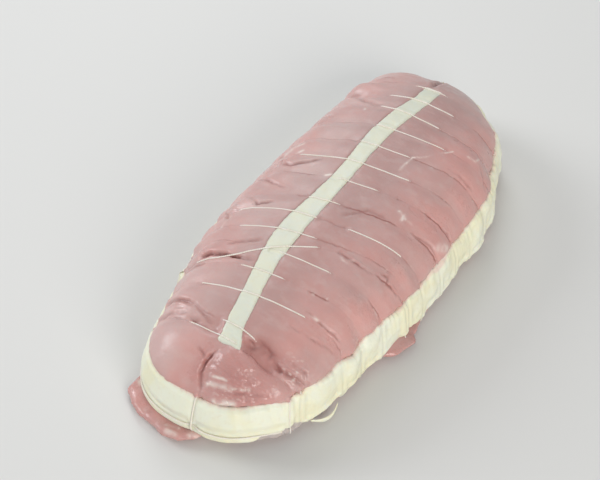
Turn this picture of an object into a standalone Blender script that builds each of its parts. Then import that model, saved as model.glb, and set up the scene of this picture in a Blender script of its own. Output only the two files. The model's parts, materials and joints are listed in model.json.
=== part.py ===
"""A tied veal roast: one long piece of meat with a band of white fat wrapped round its
waist, a narrow strip of the same fat laid along its top, and sixteen loops of thin twine
drawn tight round all of it. Metres, +Z up, +X towards the narrow far end, +Y to the left
flank. The roast rests on the flat of its underside at z = 0."""
import math

import bmesh
import bpy
from mathutils import Matrix, Vector

# The meat as a whole: a rounded box in plan, with a crown that is flat on top
LENGTH = 0.300
WIDTH = 0.127
CROWN = 0.0578           # height of the middle of the top
WAIST = 0.010            # height at which the roast is widest
PLAN_POWER = 2.83        # 2 is an ellipse, more is squarer
CROWN_POWER = 2.9
UNDERCUT = 0.14          # how far the outline draws in from the waist to the underside
BEND = 0.015             # the far end leans over to the left by this much
BEND_START, BEND_LENGTH = 0.05, 0.09
# Stretches where a flank is slimmer: middle, reach along x, side (1 is left), share of the width
SLIM = ((-0.090, 0.038, 1, 0.130), (-0.060, 0.020, -1, 0.030), (0.105, 0.034, -1, 0.085))
NOSE_START = 0.83        # share of the half length from which the cross rows bow out
NOSE_CORNER = 0.88       # and where their ends meet the outline of the nose
SHOULDER = 0.0352        # height of the edge between the crown and the flanks

# The band of fat round the waist, which sits in a recess of the meat
BAND_BOTTOM, BAND_TOP = 0.0068, 0.0305
BAND_THICK = 0.0032
BAND_RECESS = 0.0024
BAND_GAP = 0.0005
FOLD_HEIGHT = 0.0118     # the lower third of the band is a second, thicker tier
# Its outside as (height, stand-out), and its upper lip as (drop below the edge, stand-out)
BAND_TIERS = ((0.0074, 0.0002), (0.0106, 0.0009), (FOLD_HEIGHT, -0.0001), (0.0195, 0.0004))
BAND_LIP = ((0.0022, -0.0001), (0.0, -0.0012))
BAND_TEAR = ((0.0009, 19.0, 4.0), (0.0003, 37.0, -5.0))    # waves of the torn upper edge
GAP = 0.0003

# The strip of fat on top: thickness, width along x, and its wandering middle line as (x, y)
STRIP_THICK = 0.0015
STRIP_GAP = 0.0005
STRIP_WIDTHS = ((-0.119, 0.0145), (-0.108, 0.0108), (-0.085, 0.0104), (-0.066, 0.0114),
                (-0.046, 0.0138), (-0.030, 0.0138), (-0.006, 0.0120), (0.012, 0.0104),
                (0.030, 0.0102), (0.048, 0.0116), (0.080, 0.0120), (0.100, 0.0106),
                (0.117, 0.0100))
STRIP_FLAT = 0.55        # share of the half width that is full thickness
STRIP_EDGE_THICK, STRIP_EDGE_WIDTH = 0.72, 0.97
STRIP_LINE = ((-0.120, -0.0070), (-0.105, -0.0030), (-0.085, 0.0005), (-0.060, 0.0055),
              (-0.030, 0.0075), (0.000, 0.0060), (0.030, 0.0065), (0.060, 0.0080),
              (0.085, 0.0060), (0.100, 0.0045), (0.117, 0.0055))

# The loops of twine: place on the middle line, and lean in x for each metre to the left
TWINE_RADIUS = 0.00055
TWINE_LIFT = 0.00125     # from the bottom of its furrow to the middle of the twine
TWINE_EASE = 0.0007      # more room where it turns an edge
LOOPS = ((-0.116, 0.01), (-0.108, 0.04), (-0.088, -0.14), (-0.072, -0.13), (-0.056, -0.14),
         (-0.039, -0.24), (-0.024, -0.20), (-0.009, -0.25), (0.011, -0.21), (0.028, -0.19),
         (0.046, -0.19), (0.064, -0.16), (0.082, -0.05), (0.098, -0.11), (0.114, -0.12))
FURROW_HALF = 0.0028     # half the width of the furrow that a loop draws in the meat
FURROW_GROOVE = 0.0023   # depth of a loop's groove across the underside
FURROW_TOP, FURROW_SIDE, FURROW_BAND = 0.0009, 0.0026, 0.0014    # its depth on the way round
PILLOW = 0.0008          # how far the meat swells between two loops

# The crossing loop: it leaves the line of the fifth loop and slants over the strip
SLANT_LINE = ((-0.034, -0.052), (-0.036, -0.040), (-0.038, -0.031), (-0.038, -0.023),
              (-0.041, -0.014), (-0.0465, -0.006), (-0.051, 0.001), (-0.056, 0.008),
              (-0.061, 0.014), (-0.068, 0.022), (-0.073, 0.032), (-0.075, 0.043),
              (-0.076, 0.052))
SLANT_RIGHT, SLANT_LEFT = -0.0425, -0.0660
CROSSING_LIFT, CROSSING_REACH = 0.0016, 0.010
SLANT_LIFT = 0.0006
STRIP_CLEAR = 0.0030     # a loop leaves the meat this far from the strip
STRIP_TURN = 0.0004      # and turns over the strip's edge this far from it

# The lengthwise twine at the two ends, and the round one in the near fold
END_START = 0.0035       # from the end of the strip
END_LIFT = 0.0009
END_BAND = ((4, 0.0002), (3, 0.0002), (2, 0.0024), (1, 0.0014), (0, 0.0004))
ROUND_RISE, ROUND_GAP = 0.0009, 0.0004

# The loose sliver of fat: where it starts and ends, the height of its ends, its radius
SLIVER_SPAN, SLIVER_TOP, SLIVER_RADIUS = (-0.1040, -0.0920), 0.0078, 0.0008
SLIVER_SAG, SLIVER_OUT, SLIVER_BOW = 0.0022, 0.0024, 0.0026

# Dents and swellings of the crown: x, y, reach along x, reach along y, height
SWELLINGS = ((-0.134, -0.026, 0.011, 0.018, -0.0034), (-0.128, 0.022, 0.014, 0.017, 0.0016),
             (-0.111, -0.029, 0.007, 0.009, -0.0042), (-0.116, -0.013, 0.0045, 0.010, -0.0022),
             (-0.030, 0.047, 0.008, 0.010, -0.0016), (0.104, 0.030, 0.006, 0.014, -0.0022),
             (0.018, -0.056, 0.012, 0.010, -0.0012), (-0.060, -0.030, 0.030, 0.022, 0.0008))
CLEFT_NEAR = (-0.122, -0.0045, 0.0030)      # where it starts, its line and its depth
CLEFT_FAR = (0.122, 0.0080, 0.0028)
CLEFT_HALF = 0.0028
# Places on the right flank where the loops draw the outline in: x, reach, depth
PINCHES = ((-0.113, 0.006, 0.0042), (-0.093, 0.007, 0.0014), (-0.074, 0.006, 0.0030),
           (-0.020, 0.006, 0.0010), (0.022, 0.006, 0.0012), (0.052, 0.006, 0.0012))
# Meat that sticks out under the band, as arcs of the plan in degrees from +X
FLAP_ARC, FLAP_REACH, FLAP_FADE = (138.5, 192.0), 0.0165, 10.0
BULGES = ((-0.047, -0.012, 0.0042), (0.052, 0.084, 0.0022))


def smooth(low, high, value):
    """Go from 0 at low to 1 at high with soft ends."""
    t = min(max((value - low) / (high - low), 0.0), 1.0)
    return t * t * (3.0 - 2.0 * t)


def along(line, value):
    """Read a line of (place, amount) pairs at a place, straight between its points."""
    if value <= line[0][0]:
        return line[0][1]
    for (x0, y0), (x1, y1) in zip(line, line[1:]):
        if value <= x1:
            return y0 + (y1 - y0) * (value - x0) / (x1 - x0)
    return line[-1][1]


def outline_reach(x, y, power=PLAN_POWER):
    return (abs(x) ** power + abs(y) ** power) ** (1.0 / power)


def crown_reach(height):
    """Share of the full outline at a height above the waist."""
    h = min(max((height - WAIST) / (CROWN - WAIST), 0.0), 1.0)
    return (1.0 - h ** CROWN_POWER) ** (1.0 / CROWN_POWER)


def flank_reach(height):
    """Share of the full outline at any height of the flank."""
    if height >= WAIST:
        return crown_reach(height)
    return 1.0 - UNDERCUT * ((WAIST - height) / WAIST) ** 2.5


SHOULDER_REACH = crown_reach(SHOULDER)
STATION_SCALE = LENGTH / 2 * SHOULDER_REACH


def outline_width(x):
    """Half width of the unit outline at x."""
    return max(1.0 - abs(x) ** PLAN_POWER, 0.0) ** (1.0 / PLAN_POWER)


def plan_unit(a, b):
    """Carry a point of the square -1..1 to the unit outline: the cross rows are straight
    in the middle of the roast, and bow out to the round noses at its ends."""
    past = max(abs(a) - NOSE_START, 0.0) / (1.0 - NOSE_START)
    straight = min(abs(a), NOSE_START) + (NOSE_CORNER - NOSE_START) * past
    nose = outline_width(b * outline_width(NOSE_CORNER))
    return math.copysign(straight + past * (nose - NOSE_CORNER), a), b * outline_width(straight)


def furrow(station):
    """1 in the line of a loop, 0 from FURROW_HALF away on."""
    nearest = min(abs(station - x) for x, _ in LOOPS)
    return max(0.0, 1.0 - nearest / FURROW_HALF)


def pillow(station):
    """1 half way between two loops, 0 at each."""
    for (x0, _), (x1, _) in zip(LOOPS, LOOPS[1:]):
        if x0 <= station <= x1:
            return math.sin(math.pi * (station - x0) / (x1 - x0))
    return 0.0


def cleft(x, y):
    """Depth of the clefts that the lengthwise twine draws in the two ends."""
    near = CLEFT_NEAR[2] * smooth(-CLEFT_NEAR[0], -CLEFT_NEAR[0] + 0.012, -x)
    far = CLEFT_FAR[2] * smooth(CLEFT_FAR[0], CLEFT_FAR[0] + 0.012, x)
    middle = CLEFT_NEAR[1] if x < 0.0 else CLEFT_FAR[1]
    return (near + far) * math.exp(-((y - middle) / CLEFT_HALF) ** 2)


def relief(station, x, y, z):
    """How far the skin stands out from the smooth form, along its normal."""
    across = abs(y) / (WIDTH / 2)
    depth = FURROW_TOP + (FURROW_SIDE - FURROW_TOP) * smooth(0.12, 0.75, across)
    depth += (FURROW_BAND - depth) * smooth(SHOULDER, BAND_TOP, z)
    stand = PILLOW * pillow(station) - depth * furrow(station) - cleft(x, y)
    for sx, sy, rx, ry, height in SWELLINGS:
        stand += height * math.exp(-((x - sx) / rx) ** 2 - ((y - sy) / ry) ** 2)
    if y < 0.0:
        low = 1.0 - smooth(0.034, 0.050, z)
        for px, reach, drawn in PINCHES:
            stand -= low * across * drawn * math.exp(-((x - px) / reach) ** 2)
    return stand


def slimness(x, side):
    """Share of the width that a flank keeps at x."""
    return 1.0 - sum(share * math.exp(-((x - middle) / reach) ** 2)
                     for middle, reach, slim_side, share in SLIM if slim_side * side > 0.0)


def bend(x):
    """How far the far end leans to the left at x."""
    return BEND * min(max((x - BEND_START) / BEND_LENGTH, 0.0), 1.0) ** 2


def settle(station, unit, z, out):
    """Put a point of the smooth form in place: relief, lean of the rows, bend of the end."""
    ux, uy = unit
    x, y = ux * LENGTH / 2, uy * WIDTH / 2
    y *= slimness(x, y)
    rho = max(outline_reach(ux, uy), 1e-9)
    pull = rho ** (CROWN_POWER - PLAN_POWER)
    h = max((z - WAIST) / (CROWN - WAIST), 0.0)
    normal = Vector((pull * abs(ux) ** (PLAN_POWER - 1) * math.copysign(2.0 / LENGTH, ux),
                     pull * abs(uy) ** (PLAN_POWER - 1) * math.copysign(2.0 / WIDTH, uy),
                     h ** (CROWN_POWER - 1) / (CROWN - WAIST))).normalized()
    point = Vector((x, y, z)) + normal * (out + relief(station, x, y, z))
    point.x += along(LOOPS, station) * y * (1.0 - smooth(0.80, 1.0, abs(station) / STATION_SCALE))
    point.y += bend(x)
    return point


def crown_point(a, b, out=0.0):
    """Point of the top: its height follows from its place in plan."""
    ux, uy = (value * SHOULDER_REACH for value in plan_unit(a, b))
    rho = min(outline_reach(ux, uy), 1.0)
    z = WAIST + (CROWN - WAIST) * (1.0 - rho ** CROWN_POWER) ** (1.0 / CROWN_POWER)
    return settle(a * STATION_SCALE, (ux, uy), z, out)


def flank_point(a, b, z, out=0.0):
    """Point of the side: its place in plan follows from its height."""
    reach = flank_reach(z)
    ux, uy = plan_unit(a, b)
    return settle(a * STATION_SCALE, (ux * reach, uy * reach), z, out)


def crown_over(x, y, out):
    """Point of the top above a true place in plan, found by undoing bend, lean and slimness."""
    straight = y - bend(x)
    station = x
    for _ in range(4):
        station = x - along(LOOPS, station) * straight
    unit = (station / (LENGTH / 2), straight / slimness(station, straight) / (WIDTH / 2))
    rho = min(outline_reach(*unit), SHOULDER_REACH)
    z = WAIST + (CROWN - WAIST) * (1.0 - rho ** CROWN_POWER) ** (1.0 / CROWN_POWER)
    return settle(station, unit, z, out)


def band_top(a, b):
    """The upper edge of the band is torn a little up and down along its way round."""
    return BAND_TOP + sum(size * math.sin(p * a + q * b) for size, p, q in BAND_TEAR)


def plan_angle(a, b):
    ux, uy = plan_unit(a, b)
    return math.degrees(math.atan2(uy, ux)) % 360.0


def meat_under_band(a, b):
    """How far the meat sticks out below the band: the flap at the near end, two bulges."""
    angle = plan_angle(a, b)
    flap = FLAP_REACH * smooth(FLAP_ARC[0], FLAP_ARC[0] + FLAP_FADE, angle)
    flap *= 1.0 - smooth(FLAP_ARC[1] - FLAP_FADE, FLAP_ARC[1], angle)
    station = a * STATION_SCALE
    if b < 0.0:
        for start, end, reach in BULGES:
            if start < station < end:
                flap += reach * math.sin(math.pi * (station - start) / (end - start)) ** 0.7
    return flap


def ring_levels(a, b):
    """The levels of the flank from the underside up, each as (height, stand-out, lift):
    the lift raises the underside where a loop runs across it."""
    groove = FURROW_GROOVE * furrow(a * STATION_SCALE)
    flap = meat_under_band(a, b)
    top = band_top(a, b) + BAND_GAP
    return ((0.0, flap * 0.90, groove), (0.0032, flap, groove * 0.4),
            (BAND_BOTTOM - GAP, flap * 0.55, 0.0), (BAND_BOTTOM - GAP, -BAND_RECESS, 0.0),
            (top, -BAND_RECESS, 0.0), (top, 0.0, 0.0))


def station_columns():
    """Cross rows of the mesh: three at each loop, one or two between, and the two noses."""
    columns = [-1.0, -0.95, -0.89, 1.0, 0.95, 0.89]
    edges = [x for x, _ in LOOPS]
    for x in edges:
        columns += [(x + side * FURROW_HALF) / STATION_SCALE for side in (-1, 0, 1)]
    for x0, x1 in zip(edges, edges[1:]):
        columns.append((x0 + x1) / 2 / STATION_SCALE)
    return sorted(columns)


COLUMNS = station_columns()
ROWS = (-1.0, -0.88, -0.74, -0.60, -0.46, -0.32, -0.20, -0.10, 0.0, 0.12, 0.26, 0.42, 0.58,
        0.74, 0.88, 1.0)


def nearest_of(values, value):
    return min(range(len(values)), key=lambda i: abs(values[i] - value))


def border(columns, rows):
    """The rim of the lattice, anticlockwise seen from above."""
    right = [(a, -1.0) for a in columns]
    far = [(1.0, b) for b in rows[1:-1]]
    left = [(a, 1.0) for a in reversed(columns)]
    near = [(-1.0, b) for b in reversed(rows[1:-1])]
    return right + far + left + near


def finish(obj, colour, roughness):
    """Give an object its name's material and put it in the roast's collection."""
    material = bpy.data.materials.new(obj.name)
    material.use_nodes = True
    shader = material.node_tree.nodes["Principled BSDF"]
    shader.inputs["Base Color"].default_value = (*colour, 1.0)
    shader.inputs["Roughness"].default_value = roughness
    shader.inputs["Metallic"].default_value = 0.0
    obj.data.materials.clear()
    obj.data.materials.append(material)
    for owner in list(obj.users_collection):
        owner.objects.unlink(obj)
    roast.objects.link(obj)
    return obj


def cut_box(cuts_x, cuts_y, cuts_z):
    """A box of side 2 cut by planes across each axis."""
    bm = bmesh.new()
    bmesh.ops.create_cube(bm, size=2.0)
    for axis, cuts in enumerate((cuts_x, cuts_y, cuts_z)):
        normal = Vector((0.0, 0.0, 0.0))
        normal[axis] = 1.0
        for place in cuts:
            geometry = bm.verts[:] + bm.edges[:] + bm.faces[:]
            bmesh.ops.bisect_plane(bm, geom=geometry, dist=1e-6, plane_co=normal * place,
                                   plane_no=normal)
    return bm


def mesh_object(name, bm):
    bmesh.ops.recalc_face_normals(bm, faces=bm.faces[:])
    mesh = bpy.data.meshes.new(name)
    bm.to_mesh(mesh)
    bm.free()
    mesh.shade_smooth()
    mesh.set_sharp_from_angle(angle=math.radians(50))
    return bpy.data.objects.new(name, mesh)


def make_veal():
    """The meat: a box cut into rows that follow the loops, then carried to the skin."""
    level_count = len(ring_levels(0.0, 1.0)) + 1
    heights = [-1.0 + 2.0 * k / (level_count - 1) for k in range(level_count)]
    bm = cut_box(COLUMNS[1:-1], ROWS[1:-1], heights[1:-1])
    inner = [e for e in bm.edges
             if all(v.co.z < -0.999 and abs(v.co.y) < 0.999 for v in e.verts)
             and abs(e.verts[0].co.y - e.verts[1].co.y) < 1e-5]
    bmesh.ops.dissolve_edges(bm, edges=inner, use_verts=True)
    for vert in bm.verts:
        a = COLUMNS[nearest_of(COLUMNS, vert.co.x)]
        b = ROWS[nearest_of(ROWS, vert.co.y)]
        level = nearest_of(heights, vert.co.z)
        if level == level_count - 1:
            vert.co = crown_point(a, b)
        else:
            z, out, lift = ring_levels(a, b)[level]
            vert.co = flank_point(a, b, z, out)
            vert.co.z = z + lift
    return mesh_object("veal", bm)


def band_profile(a, b):
    """Section of the band, anticlockwise with the outside first: (height, stand-out)."""
    inside = -BAND_RECESS + BAND_GAP
    outside = inside + BAND_THICK
    top = band_top(a, b)
    tiers = tuple((z, outside + more) for z, more in BAND_TIERS)
    lip = tuple((top - drop, outside + more) for drop, more in BAND_LIP)
    return tiers + lip + ((top, inside), (BAND_BOTTOM, inside))


def make_band():
    """The band: a ring whose section is carried round the waist."""
    rim = border(COLUMNS, ROWS)
    size = len(band_profile(0.0, 1.0))
    bpy.ops.mesh.primitive_torus_add(major_segments=len(rim), minor_segments=size)
    obj = bpy.context.object
    obj.name = "bard_band"
    obj.data.name = "bard_band"
    for i, (a, b) in enumerate(rim):
        for j, (z, out) in enumerate(band_profile(a, b)):
            obj.data.vertices[i * size + j].co = flank_point(a, b, z, out)
    bm = bmesh.new()
    bm.from_mesh(obj.data)
    bmesh.ops.recalc_face_normals(bm, faces=bm.faces[:])
    bm.to_mesh(obj.data)
    bm.free()
    obj.data.shade_smooth()
    obj.data.set_sharp_from_angle(angle=math.radians(50))
    return obj


def strip_width(x):
    return along(STRIP_WIDTHS, x)


def strip_columns():
    """The cross rows under the strip, from its near end to its far end."""
    return [a for a in COLUMNS if STRIP_LINE[0][0] < a * STATION_SCALE < STRIP_LINE[-1][0]]


def make_strip():
    """The strip: a flat box bent over the crown along its wandering middle line."""
    columns = strip_columns()
    places = [-1.0 + 2.0 * i / (len(columns) - 1) for i in range(len(columns))]
    bm = cut_box(places[1:-1], (-STRIP_FLAT, STRIP_FLAT), ())
    for vert in bm.verts:
        x = columns[nearest_of(places, vert.co.x)] * STATION_SCALE
        across = vert.co.y * strip_width(x) / 2
        out = STRIP_GAP
        if vert.co.z > 0.0:
            inner = abs(vert.co.y) < 0.9
            out += STRIP_THICK * (1.0 if inner else STRIP_EDGE_THICK)
            across *= 1.0 if inner else STRIP_EDGE_WIDTH
        y = along(STRIP_LINE, x) + across
        vert.co = crown_over(x + along(LOOPS, x) * (y - bend(x)), y, out)
    return mesh_object("bard_strip", bm)


def surface_place(make, *place, out=0.0):
    """A point of the skin with its normal."""
    point = make(*place, out)
    return point, (make(*place, out + 0.001) - point).normalized()


def offset_path(places, distance, closed=True):
    """Move a path of (point, normal) away from what it lies on. At a corner the point is
    carried out further, so that the straight runs keep the full distance."""
    count = len(places)
    moved = []
    for i, (point, normal) in enumerate(places):
        before = places[i - 1][0] if closed or i else 2 * point - places[1][0]
        after = places[(i + 1) % count][0] if closed or i < count - 1 else 2 * point - before
        axis = (after - before).cross(normal).normalized()
        first = axis.cross(point - before).normalized()
        second = axis.cross(after - point).normalized()
        middle = (first + second).normalized()
        moved.append(point + middle * distance / max(middle.dot(first), 0.75))
    return moved


def twine_object(name, points, closed, radius=TWINE_RADIUS):
    """A length of twine as a round tube along straight runs."""
    curve = bpy.data.curves.new(name, "CURVE")
    curve.dimensions = "3D"
    curve.bevel_depth = radius
    curve.bevel_resolution = 0
    curve.use_fill_caps = True
    spline = curve.splines.new("POLY")
    spline.points.add(len(points) - 1)
    for knot, point in zip(spline.points, points):
        knot.co = (*point, 1.0)
    spline.use_cyclic_u = closed
    return bpy.data.objects.new(name, curve)


def flank_outside(a, b):
    """What a loop touches on the flank, from the shoulder down: meat, then the band."""
    edges = (SHOULDER, band_top(a, b) + BAND_GAP)
    places = [surface_place(flank_point, a, b, z, out=TWINE_EASE) for z in edges]
    for j in (4, 3, 1, 0):
        z, out = band_profile(a, b)[j]
        places.append(surface_place(flank_point, a, b, z, out=out))
    return places


def foot_outside(a, b):
    """What a loop touches below the band: the edge of the meat down to its groove."""
    (edge, edge_out, edge_lift), (foot, foot_out, foot_lift) = ring_levels(a, b)[1::-1]
    down = Vector((0.0, 0.0, -1.0))
    edge_point, side = surface_place(flank_point, a, b, edge, out=edge_out + TWINE_EASE)
    edge_point.z = edge + edge_lift - TWINE_EASE
    foot_point = flank_point(a, b, foot, foot_out + 2 * TWINE_EASE)
    foot_point.z = foot + foot_lift - GAP
    return [(edge_point, (side + down).normalized()), (foot_point, down)]


def crown_outside(a, station):
    """What a loop touches on the crown, from right to left: meat, strip, meat."""
    middle = along(STRIP_LINE, station)
    half = strip_width(station) / 2
    clear = half + STRIP_CLEAR
    on_strip = STRIP_LINE[0][0] < station < STRIP_LINE[-1][0]
    meat = [surface_place(crown_point, a, b) for b in ROWS[1:-1]]
    if not on_strip:
        return meat
    strip = []
    for y in (middle - half - STRIP_TURN, middle, middle + half + STRIP_TURN):
        x = station + along(LOOPS, station) * (y - bend(station))
        strip.append(surface_place(crown_over, x, y, out=STRIP_GAP + STRIP_THICK))
    right = [place for place in meat if place[0].y < middle - clear]
    left = [place for place in meat if place[0].y > middle + clear]
    return right + strip + left


def make_loop(number, station):
    """One loop of twine round meat, band and strip, lying in its furrow."""
    a = station / STATION_SCALE
    right = flank_outside(a, -1.0) + foot_outside(a, -1.0)
    left = flank_outside(a, 1.0) + foot_outside(a, 1.0)
    places = right[::-1] + crown_outside(a, station) + left
    return twine_object(f"twine_{number:02d}", offset_path(places, TWINE_LIFT), True)


def make_slanting_loop(number):
    """The loop that slants over the strip and crosses the one beside it."""
    lift = TWINE_LIFT
    crossing = min(SLANT_LINE, key=lambda place: abs(place[1] - 0.008))
    over = []
    for x, y in SLANT_LINE:
        near = math.exp(-((y - crossing[1]) / CROSSING_REACH) ** 2)
        over.append(crown_over(x, y, lift + SLANT_LIFT + (STRIP_THICK + GAP + CROSSING_LIFT) * near))
    right = offset_path(flank_outside(SLANT_RIGHT / STATION_SCALE, -1.0)[::-1], lift, False)
    left = offset_path(flank_outside(SLANT_LEFT / STATION_SCALE, 1.0), lift, False)
    return twine_object(f"twine_{number:02d}", right + over + left, False)


def end_twine(name, sign, row):
    """The lengthwise twine where it comes off the strip and goes down over one end."""
    start = STRIP_LINE[0][0] if sign < 0 else STRIP_LINE[-1][0]
    first = (abs(start) + END_START) / STATION_SCALE
    lift = TWINE_LIFT
    steps = 5
    points = [crown_point(sign * (first + (1.0 - first) * k / steps), row, lift)
              for k in range(steps)]
    a = float(sign)
    profile = band_profile(a, row)
    edges = (SHOULDER, band_top(a, row) + BAND_GAP)
    points += [flank_point(a, row, z, lift + END_LIFT) for z in edges]
    for j, more in END_BAND:
        z, out = profile[j]
        points.append(flank_point(a, row, z, out + lift + more))
    return twine_object(name, points, False)


def make_near_round():
    """The twine that runs level round the near end, in the fold of the band."""
    rows = [b for b in ROWS if abs(b) < 0.999]
    path = [(-0.89, 1.0), (-0.95, 1.0), (-1.0, 1.0)] + [(-1.0, b) for b in reversed(rows)]
    path += [(-1.0, -1.0), (-0.95, -1.0), (-0.89, -1.0)]
    z, out = FOLD_HEIGHT + ROUND_RISE, band_profile(0.0, 1.0)[2][1]
    points = [flank_point(a, b, z, out + TWINE_RADIUS + ROUND_GAP) for a, b in path]
    return twine_object("twine_round_near_end", points, False)


def make_sliver():
    """A loose edge of fat that hangs off the band between two loops on the right."""
    start, end = SLIVER_SPAN
    count = 8
    points = []
    for k in range(count):
        t = k / (count - 1)
        a = (start + (end - start) * t) / STATION_SCALE
        bow = math.sin(math.pi * t)
        height = SLIVER_TOP - SLIVER_SAG * bow
        points.append(flank_point(a, -1.0, height, SLIVER_OUT + SLIVER_BOW * bow))
    return twine_object("fat_sliver", points, False, radius=SLIVER_RADIUS)


def set_on_ground(objects):
    """Move everything so that the middle of the whole object's base is the origin."""
    bpy.context.view_layer.update()
    corners = [obj.matrix_world @ Vector(corner) for obj in objects for corner in obj.bound_box]
    low = Vector([min(corner[k] for corner in corners) for k in range(3)])
    high = Vector([max(corner[k] for corner in corners) for k in range(3)])
    shift = Matrix.Translation(Vector((-(low.x + high.x) / 2, -(low.y + high.y) / 2, -low.z)))
    for obj in objects:
        obj.data.transform(shift)


for old in list(bpy.data.objects):
    bpy.data.objects.remove(old, do_unlink=True)
roast = bpy.data.collections.new("veal_roast")
bpy.context.scene.collection.children.link(roast)

PINK, FAT, CORD = (0.56, 0.33, 0.31), (0.80, 0.81, 0.66), (0.82, 0.76, 0.62)
finish(make_veal(), PINK, 0.38)
finish(make_band(), FAT, 0.45)
finish(make_strip(), FAT, 0.45)
finish(make_sliver(), FAT, 0.45)
for number, (station, _) in enumerate(LOOPS, start=1):
    finish(make_loop(number, station), CORD, 0.70)
finish(make_slanting_loop(len(LOOPS) + 1), CORD, 0.70)
finish(end_twine("twine_near_end", -1, -0.09), CORD, 0.70)
finish(end_twine("twine_far_end", 1, 0.02), CORD, 0.70)
finish(make_near_round(), CORD, 0.70)
set_on_ground(list(roast.objects))
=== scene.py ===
import json
import math

import bmesh
import bpy
import numpy as np
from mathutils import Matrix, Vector
from mathutils.bvhtree import BVHTree
from mathutils.kdtree import KDTree

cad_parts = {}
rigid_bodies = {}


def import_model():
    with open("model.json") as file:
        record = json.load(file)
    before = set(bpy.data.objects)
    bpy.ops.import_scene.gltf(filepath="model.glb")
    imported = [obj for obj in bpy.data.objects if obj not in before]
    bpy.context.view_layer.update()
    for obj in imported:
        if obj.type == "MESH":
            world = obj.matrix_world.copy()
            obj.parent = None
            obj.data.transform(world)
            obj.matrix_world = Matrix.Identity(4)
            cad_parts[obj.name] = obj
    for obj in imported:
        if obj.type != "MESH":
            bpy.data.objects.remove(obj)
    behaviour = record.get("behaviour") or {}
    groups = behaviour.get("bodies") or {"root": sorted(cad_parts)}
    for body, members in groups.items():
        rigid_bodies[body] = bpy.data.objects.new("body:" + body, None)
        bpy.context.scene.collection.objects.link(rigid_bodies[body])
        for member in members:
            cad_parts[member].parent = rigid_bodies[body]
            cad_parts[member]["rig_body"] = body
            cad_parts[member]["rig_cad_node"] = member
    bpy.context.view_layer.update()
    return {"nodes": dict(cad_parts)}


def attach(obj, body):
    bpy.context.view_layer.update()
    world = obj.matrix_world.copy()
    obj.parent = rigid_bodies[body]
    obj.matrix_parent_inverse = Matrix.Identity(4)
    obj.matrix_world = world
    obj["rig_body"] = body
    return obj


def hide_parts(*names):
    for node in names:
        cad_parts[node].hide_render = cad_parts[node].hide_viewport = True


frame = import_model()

nodes = frame["nodes"]


# THE TABLE, THE LIGHT AND THE CAMERA
# A pale table top under soft daylight from large lamps, and the camera above the near left
# corner of the picture, looking down along the roast.
CAMERA_TURN, CAMERA_RISE, CAMERA_AWAY = math.radians(-56.87), math.radians(45.04), 0.95
LOOKED_AT = Vector((-0.0168, 0.0143, 0.030))
LENS, SENSOR = 100.04, 36.0
# Each lamp: name, place, side of its square, power in watts and colour
LAMPS = (("daylight", (-1.40, -2.25, 1.30), 1.5, 55.0, (1.0, 0.985, 0.95)),
         ("window", (-0.40, 2.40, 1.15), 1.3, 40.0, (0.95, 0.975, 1.0)),
         ("doorway", (0.72, 0.62, 0.95), 0.6, 4.4, (0.97, 0.98, 1.0)),
         ("ceiling", (-0.75, -0.30, 1.65), 0.12, 1.2, (0.97, 0.98, 1.0)))
TABLE_SIZE, TABLE_COLOUR = 5.0, (0.70, 0.69, 0.67, 1.0)
ROOM_COLOUR, ROOM_LIGHT = (0.86, 0.90, 0.93, 1.0), 0.40


def only(piece):
    """Select this piece alone."""
    if bpy.context.mode != "OBJECT":
        bpy.ops.object.mode_set(mode="OBJECT")
    bpy.ops.object.select_all(action="DESELECT")
    piece.select_set(True)
    bpy.context.view_layer.objects.active = piece
    return piece


def shader(name, **values):
    """A new material with the values of its Principled shader."""
    material = bpy.data.materials.new(name)
    material.use_nodes = True
    principled = material.node_tree.nodes["Principled BSDF"]
    for socket, value in values.items():
        principled.inputs[socket.replace("_", " ")].default_value = value
    return material, material.node_tree, principled


bpy.ops.mesh.primitive_plane_add(size=TABLE_SIZE, location=(0.0, 0.0, 0.0))
table = bpy.context.object
table.name = table.data.name = "table_top"
table_paint, _, _ = shader("pale_table", Base_Color=TABLE_COLOUR, Roughness=0.55)
table.data.materials.append(table_paint)

for name, place, size, power, colour in LAMPS:
    bpy.ops.object.light_add(type="AREA", location=place)
    lamp = bpy.context.object
    lamp.name = name
    lamp.data.shape, lamp.data.size = "SQUARE", size
    lamp.data.energy, lamp.data.color = power, colour
    lamp.rotation_euler = (LOOKED_AT - Vector(place)).to_track_quat("-Z", "Y").to_euler()

world = bpy.data.worlds.new("room")
bpy.context.scene.world = world
world.use_nodes = True
background = world.node_tree.nodes["Background"].inputs
background["Color"].default_value, background["Strength"].default_value = ROOM_COLOUR, ROOM_LIGHT

away = Vector((math.sin(CAMERA_TURN) * math.cos(CAMERA_RISE),
               -math.cos(CAMERA_TURN) * math.cos(CAMERA_RISE), math.sin(CAMERA_RISE)))
bpy.ops.object.camera_add(location=LOOKED_AT + away * CAMERA_AWAY,
                          rotation=away.to_track_quat("Z", "Y").to_euler())
camera = bpy.context.object
camera.data.lens, camera.data.sensor_width = LENS, SENSOR
camera.data.clip_start = 0.01
bpy.context.scene.camera = camera
bpy.context.scene.view_settings.view_transform = "Standard"


# THE MEAT
# One long rolled muscle of pale pink veal. The twine draws the meat in and the meat closes over
# it down the flanks; between the loops it swells, and it is cut, folded and torn at the near end.
MM = 0.001
VOXEL = 0.00115
TWINE_RADIUS = 0.00055        # of the solid's square runs, to tell a ring from a step
BAND_EDGE = 0.0305            # height at which the band of fat ends
BEHIND_BAND = (0.009, 0.028)  # heights of the meat that the band hides
TOP_SIDE = 0.042              # height above which only the top of the roast lies
RAY_FROM = 0.1                # height from which rays go down onto the roast, and their length
CROWN_EASE, CROWN_OUT = 130, 0.0006
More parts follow.
